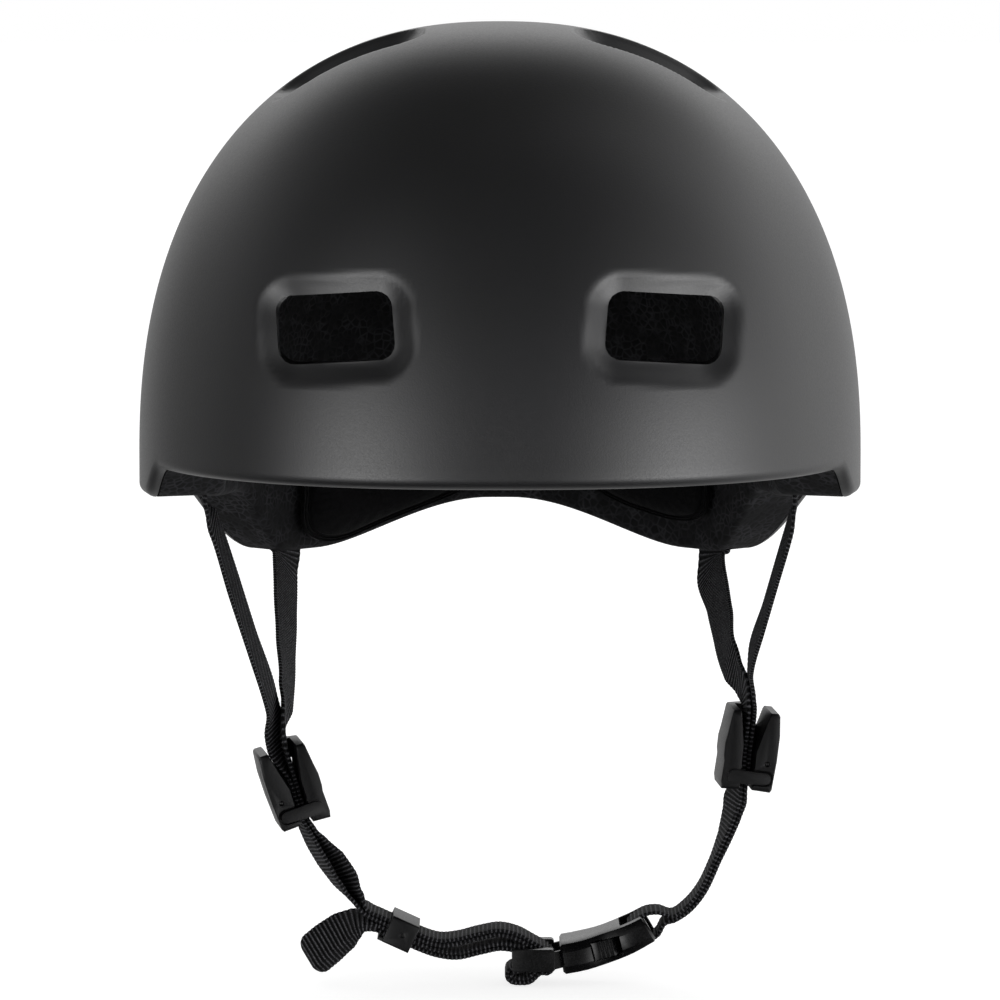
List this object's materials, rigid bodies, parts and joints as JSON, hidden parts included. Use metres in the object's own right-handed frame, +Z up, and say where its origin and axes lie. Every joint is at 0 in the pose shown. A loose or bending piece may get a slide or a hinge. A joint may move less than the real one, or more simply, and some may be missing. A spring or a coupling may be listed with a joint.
{
  "type": "multi-sport helmet",
  "caption": "Matte black multi-sport helmet: hard shell with recessed vents, foam liner, stick-in pads, V straps with hinged dividers, keeper and side-release chin buckle.",
  "frame": {"origin": "centre of the head opening at the level of the front brim", "axes": "+Z up through the crown, -Y out of the forehead, +X to the wearer's left"},
  "size_m": [0.214, 0.2635, 0.291],
  "materials": {
    "shell_abs": "injection-moulded ABS with a soft matte black paint",
    "liner_eps": "charcoal expanded polystyrene with fused beads",
    "pad_fabric": "black polyester knit over foam with a welded border",
    "hook_nylon": "moulded nylon hook discs",
    "webbing": "ribbed polypropylene webbing",
    "acetal": "semi-gloss black acetal",
    "pin_steel": "plain steel pins"
  },
  "bodies": {
    "helmet": {"outer_shell": "shell_abs", "foam_liner": "liner_eps", "brow_pad": "pad_fabric", "crown_pad": "pad_fabric", "left_side_pad": "pad_fabric", "right_side_pad": "pad_fabric", "left_rear_pad": "pad_fabric", "right_rear_pad": "pad_fabric", "pad_hook_discs": "hook_nylon", "strap_anchors": "pin_steel", "left_front_strap": "webbing", "left_rear_strap": "webbing", "right_front_strap": "webbing", "right_rear_strap": "webbing", "left_divider_plate": "acetal", "left_divider_pin": "pin_steel", "right_divider_plate": "acetal", "right_divider_pin": "pin_steel"},
    "left_gate": {"left_divider_gate": "acetal"},
    "right_gate": {"right_divider_gate": "acetal"},
    "chin_strap": {"left_chin_strap": "webbing", "buckle_socket": "acetal"},
    "plug_strap": {"buckle_plug": "acetal", "right_chin_strap_outer": "webbing", "right_chin_strap_inner": "webbing", "strap_tail_end": "webbing"},
    "front_arm": {"front_release_arm": "acetal"},
    "rear_arm": {"rear_release_arm": "acetal"},
    "keeper": {"strap_keeper": "acetal"}
  },
  "joints": [
    {"name": "left_gate_hinge", "type": "hinge", "parent": "helmet", "child": "left_gate", "pos_m": [0.07346, 0.02946, -0.09037], "axis": [0.1043, 0.0073, 0.9945], "range_deg": [0, 90]},
    {"name": "right_gate_hinge", "type": "hinge", "parent": "helmet", "child": "right_gate", "pos_m": [-0.06466, 0.0288, -0.10112], "axis": [0.2895, 0.0407, -0.9563], "range_deg": [0, 90]},
    {"name": "chin_swing", "type": "hinge", "parent": "helmet", "child": "chin_strap", "pos_m": [0.073, 0.018, -0.1023], "axis": [0.997, 0, 0.0774], "range_deg": [-35, 35], "deforming": ["left_front_strap", "left_rear_strap", "right_front_strap", "right_rear_strap"]},
    {"name": "buckle_release", "type": "slide", "parent": "chin_strap", "child": "plug_strap", "axis": [-0.9703, 0, -0.2419], "range_m": [0, 0.021], "deforming": ["right_chin_strap_outer", "right_chin_strap_inner", "front_release_arm", "rear_release_arm"]},
    {"name": "front_arm_press", "type": "hinge", "parent": "plug_strap", "child": "front_arm", "pos_m": [0.02268, 0.011, -0.15298], "axis": [-0.2419, 0, 0.9703], "range_deg": [0, 7], "stiffness_Nm_per_rad": 0.004},
    {"name": "rear_arm_press", "type": "hinge", "parent": "plug_strap", "child": "rear_arm", "pos_m": [0.02268, 0.025, -0.15298], "axis": [0.2419, 0, -0.9703], "range_deg": [0, 7], "stiffness_Nm_per_rad": 0.004},
    {"name": "keeper_slide", "type": "slide", "parent": "plug_strap", "child": "keeper", "axis": [0.91, 0, -0.4147], "range_m": [-0.002, 0.002]}
  ]
}
